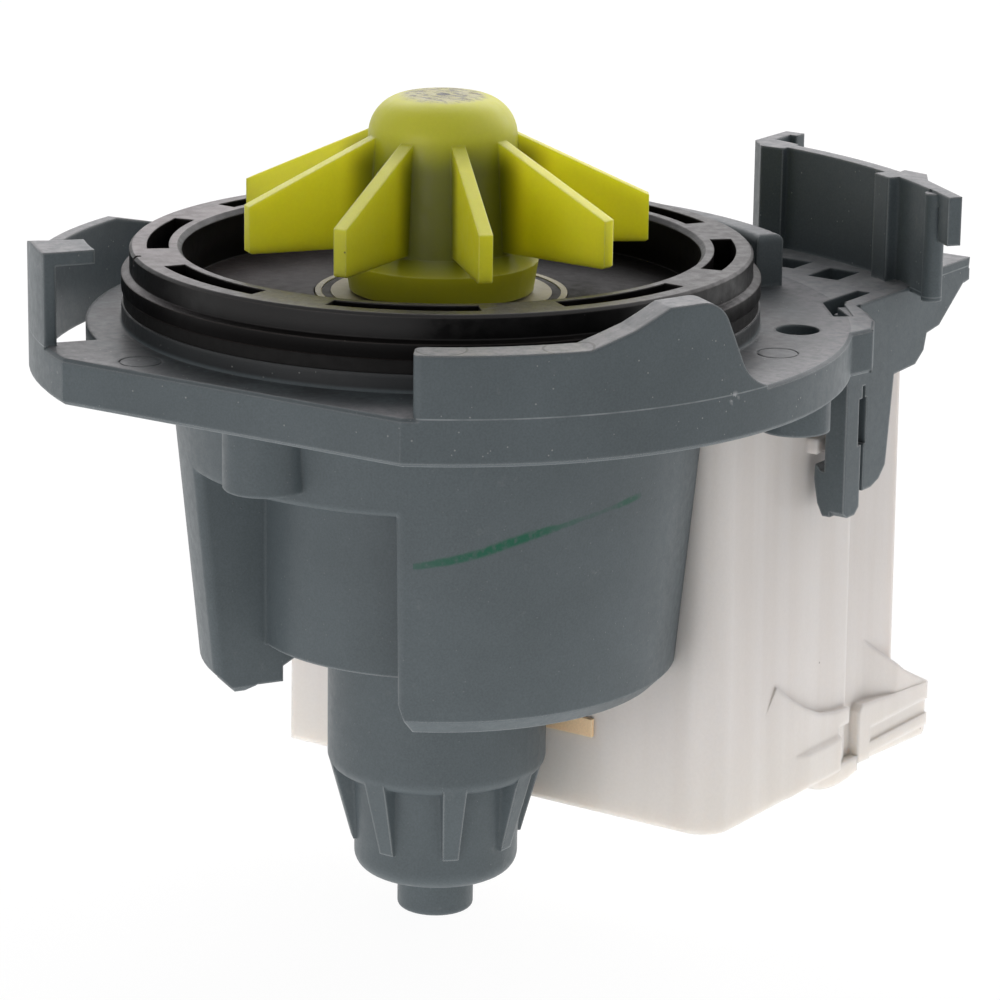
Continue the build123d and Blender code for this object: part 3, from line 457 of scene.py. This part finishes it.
def black_plastic():
    """Black cover: turned lines and rubbing on the top faces, a painted sheen on one side of the rim, painted
    edge highlights, painted shade on the bowl's floor, gloss on the sides.
    """
    look = Look("black_plastic")
    radius, azimuth = look.polar()
    height = look.parts.outputs[2]
    up = look.facing_up()
    rings = look.add("ShaderNodeCombineXYZ", look.math("MULTIPLY", radius, 22.0),
                     look.math("MULTIPLY", azimuth, 0.0004), height).outputs[0]
    brushed = look.noise(2.2 * MM, 4, 0.65, place=rings)
    cloud = look.noise(5 * MM, 4, 0.6)
    colour = look.mix(cloud, linear(9, 8, 8), linear(15, 13, 13))
    worn_and_sheen = look.mix(brushed, linear(12, 11, 10), linear(30, 26, 25))
    rubbed = look.math("MULTIPLY", up, look.span(height, COVER_TOP[0] * MM, COVER_TOP[1] * MM, 0.3, 0.9))
    # painted sheen: the rubbed top turns pale towards one side of the rim
    sheen_side = look.math("COSINE", look.math("RADIANS", look.math("SUBTRACT", azimuth, SHEEN_AZIMUTH)))
    worn_and_sheen = look.mix(look.span(sheen_side, 0.2, 1.0, 0.0, 0.85), worn_and_sheen, linear(140, 132, 134))
    colour = look.mix(look.math("MULTIPLY", rubbed, look.span(cloud, 0.3, 0.7, 0.5, 1.0)), colour, worn_and_sheen)
    # painted highlight: outer edges made paler
    colour = look.mix(look.math("MULTIPLY", look.edges(0.25 * MM), 0.4), colour, linear(96, 88, 84))
    # painted shade: the bowl's floor under the impeller darkened
    colour = look.shade(colour, look.span(height, BOWL_SHADE_HEIGHTS[0] * MM, BOWL_SHADE_HEIGHTS[1] * MM, 0.35, 1.0))
    dust = look.specks(1.3 * MM, 0.1 * MM)
    colour = look.mix(look.math("MULTIPLY", dust, 0.5), colour, linear(120, 114, 108))
    rough = look.span(look.noise(1.4 * MM, 4, 0.65), 0.3, 0.7, 0.28, 0.42)
    look.relief(0.25 * MM, (brushed, 0.02 * MM), (look.noise(0.3 * MM, 3), 0.008 * MM))
    tangent = look.nodes.new("ShaderNodeTangent")
    tangent.direction_type = "RADIAL"
    tangent.axis = "Z"
    gloss = look.span(height, 4 * MM, COVER_TOP[1] * MM, 0.04, 0.26)
    return look.finish(colour, rough, Specular_IOR_Level=gloss, Anisotropic=0.6, Tangent=tangent.outputs[0])


def impeller_plastic():
    """Yellow translucent moulding: greener hub with painted shade low between the vanes, painted edge
    highlights, flow streaks, a scuffed top and a gate mark.
    """
    look = Look("impeller_plastic")
    radius, _ = look.polar()
    height = look.parts.outputs[2]
    cloud = look.noise(6 * MM, 4, 0.55, stretch=(1, 1, 2.5))
    fine = look.noise(0.35 * MM, 3, 0.6)
    colour = look.mix(cloud, linear(246, 238, 40), linear(252, 246, 74))
    hub = look.span(radius, HUB_R[1] * MM, HUB_R[0] * MM)
    hub_shade = look.math("MULTIPLY", hub, look.span(height, HUB_SHADE_HEIGHTS[1] * MM, HUB_SHADE_HEIGHTS[0] * MM))
    colour = look.mix(hub, colour, look.mix(cloud, linear(212, 214, 38), linear(226, 226, 54)))
    # painted shade: the hub low between the vanes darkened
    colour = look.mix(hub_shade, colour, look.mix(cloud, linear(126, 131, 18), linear(144, 148, 26)))
    colour = look.shade(colour, look.span(fine, 0.25, 0.75, 0.985, 1.015))
    # painted highlight: outer edges made paler
    rim = look.math("MULTIPLY", look.edges(0.2 * MM), 0.5)
    colour = look.mix(rim, colour, linear(242, 244, 150))
    top = look.math("MULTIPLY", look.span(height, DOME_SCUFF[0] * MM, DOME_SCUFF[1] * MM),
                    look.span(radius, DOME_SCUFF_R[1] * MM, DOME_SCUFF_R[0] * MM))
    rubbed = look.span(look.noise(0.8 * MM, 6, 0.8, stretch=(1.8, 0.8, 1)), 0.49, 0.57)
    scuffed = look.math("MULTIPLY", rubbed, top)
    colour = look.mix(look.math("MULTIPLY", top, 0.65), colour, linear(176, 168, 146))
    colour = look.mix(look.math("MULTIPLY", scuffed, 0.8), colour, linear(96, 88, 82))
    gate = look.math("MULTIPLY", look.span(radius, GATE_R[1] * MM, GATE_R[0] * MM),
                     look.span(height, 24 * MM, 24.3 * MM))
    colour = look.mix(gate, colour, linear(52, 50, 30))
    specks = look.specks(5 * MM, 0.14 * MM)
    colour = look.mix(look.math("MULTIPLY", specks, 0.7), colour, linear(70, 68, 24))
    rough = look.span(look.noise(1.2 * MM, 4, 0.6), 0.25, 0.75, 0.36, 0.5)
    look.relief(0.3 * MM, (look.noise(0.25 * MM, 2), 0.003 * MM), (look.noise(5 * MM, 2), 0.04 * MM),
                (scuffed, -0.02 * MM))
    return look.finish(colour, rough, Subsurface_Weight=0.95, Subsurface_Scale=5 * MM,
                       Subsurface_Radius=(1.0, 0.9, 0.15), Specular_IOR_Level=0.4)


def white_plastic():
    """Warm white casing: sink marks, flow lines, faint yellowing, a little grime, painted shade towards its
    top and painted edge highlights.
    """
    look = Look("white_plastic")
    cloud = look.noise(14 * MM, 3, 0.5, stretch=(1, 1, 2.5))
    fine = look.noise(0.4 * MM, 3, 0.6)
    colour = look.mix(cloud, linear(218, 213, 209), linear(232, 228, 224))
    bands = look.span(look.noise(3.2 * MM, 2, 0.4, stretch=(1, 1, 30)), 0.35, 0.7)
    colour = look.mix(look.math("MULTIPLY", bands, 0.25), colour, linear(208, 199, 190))
    height = look.parts.outputs[2]
    low = look.span(height, BOX_LOW[1] * MM, BOX_LOW[0] * MM)
    colour = look.mix(look.math("MULTIPLY", low, 0.35), colour, linear(216, 211, 200))
    # painted shade: the box darkened towards its top
    colour = look.shade(colour, look.span(height, BOX_SHADE_HEIGHTS[0] * MM, BOX_SHADE_HEIGHTS[1] * MM, 1.0, 0.87))
    colour = look.shade(colour, look.span(fine, 0.25, 0.75, 0.985, 1.015))
    # painted highlight: outer edges made paler
    colour = look.mix(look.math("MULTIPLY", look.edges(0.4 * MM), 0.35), colour, linear(240, 238, 234))
    grime = look.specks(7 * MM, 0.16 * MM)
    colour = look.mix(look.math("MULTIPLY", grime, 0.6), colour, linear(96, 88, 78))
    rough = look.span(look.noise(1.6 * MM, 4, 0.55), 0.25, 0.75, 0.38, 0.5)
    sinks = look.noise(5 * MM, 2, stretch=(1, 1, 6))
    look.relief(0.9 * MM, (look.noise(0.3 * MM, 2), 0.01 * MM), (sinks, 0.1 * MM))
    return look.finish(colour, rough, Subsurface_Weight=0.5, Subsurface_Scale=2.2 * MM,
                       Subsurface_Radius=(1.0, 0.9, 0.8))


def moulded(name, dark, light, rough=(0.4, 0.55), **sockets):
    """Plain moulded or sintered material with cloudy colour, fine grain and painted highlights on its edges.
    """
    look = Look(name)
    colour = look.mix(look.noise(3 * MM, 4, 0.6), linear(*dark), linear(*light))
    colour = look.shade(colour, look.span(look.noise(0.25 * MM, 3, 0.6), 0.25, 0.75, 0.94, 1.06))
    # painted highlight: outer edges made paler
    pale = tuple(min(255, value + 30) for value in light)
    colour = look.mix(look.math("MULTIPLY", look.edges(0.15 * MM), 0.5), colour, linear(*pale))
    look.relief(0.15 * MM, (look.noise(0.2 * MM, 2), 0.012 * MM))
    return look.finish(colour, look.span(look.noise(1 * MM, 4, 0.6), 0.25, 0.75, *rough), **sockets)


def laminated():
    """Stacked core sheets: fine lines across the stack, with rust spots."""
    look = Look("core_steel")
    sheet = look.math("PINGPONG", look.parts.outputs[1], SHEET_HALF * MM)
    line = look.span(sheet, 0.0, 0.1 * MM, 0.55, 1.0)
    colour = look.mix(look.noise(4 * MM, 4, 0.6), linear(96, 97, 100), linear(122, 122, 124))
    rust = look.span(look.noise(1.5 * MM, 5, 0.7), 0.62, 0.72)
    colour = look.mix(look.math("MULTIPLY", rust, 0.6), colour, linear(120, 84, 60))
    look.relief(0.1 * MM, (line, 0.04 * MM))
    return look.finish(look.shade(colour, line), 0.45, Metallic=0.6)


def wound(name, direction):
    """Enamelled wire laid side by side, each turn with painted shade towards its sides."""
    look = Look(name)
    turn = look.math("PINGPONG", look.parts.outputs[direction], WIRE_R * MM)
    wire = look.span(turn, 0.0, WIRE_R * MM, 0.45, 1.0)
    colour = look.mix(look.noise(2 * MM, 3, 0.6), linear(150, 78, 40), linear(190, 108, 58))
    look.relief(0.1 * MM, (wire, 0.08 * MM))
    # painted shade: each turn darkened towards the creases between turns
    return look.finish(look.shade(colour, wire), 0.3, Metallic=0.8)


def ground_metal(name, dark, light):
    """Ground or tinned metal with fine lines."""
    look = Look(name)
    lines = look.noise(0.4 * MM, 4, 0.7, stretch=(8, 8, 0.4))
    colour = look.mix(lines, linear(*dark), linear(*light))
    look.relief(0.1 * MM, (lines, 0.006 * MM))
    return look.finish(colour, look.span(lines, 0.3, 0.7, 0.22, 0.38), Metallic=1.0)


def dress():
    """Give every CAD node the material of its slot."""
    looks = {
        "grey_plastic": grey_plastic(),
        "black_plastic": black_plastic(),
        "impeller_plastic": impeller_plastic(),
        "white_plastic": white_plastic(),
        "black_rubber": moulded("black_rubber", (13, 12, 12), (20, 19, 18), (0.5, 0.65),
                                Specular_IOR_Level=0.15),
        "pale_plastic": moulded("pale_plastic", (140, 134, 112), (164, 158, 136)),
        "bearing": moulded("bearing", (140, 138, 130), (164, 162, 152), (0.3, 0.4)),
        "rotor_plastic": moulded("rotor_plastic", (208, 202, 184), (224, 219, 202)),
        "bobbin_plastic": moulded("bobbin_plastic", (196, 190, 168), (214, 208, 188)),
        "ferrite": moulded("ferrite", (36, 36, 37), (52, 52, 53), (0.45, 0.6)),
        "tan_fibre": moulded("tan_fibre", (244, 206, 160), (250, 224, 186), (0.6, 0.8)),
        "core_steel": laminated(),
        "copper": wound("copper", 2),
        "steel": ground_metal("steel", (150, 150, 152), (198, 198, 200)),
        "fuse_metal": ground_metal("fuse_metal", (168, 168, 170), (206, 206, 208)),
        "tinned_metal": ground_metal("tinned_metal", (172, 168, 156), (212, 208, 198)),
    }
    for part in frame["record"]["subparts"]:
        node = frame["nodes"][part["node"]]
        node.data.materials.clear()
        node.data.materials.append(looks[part["material_slot"]])


add_camera()
add_world()
add_floor()
for name, (place, size, power) in LAMPS.items():
    add_lamp(name, place, size, power)
dress()
bpy.context.scene.view_settings.view_transform = "Standard"
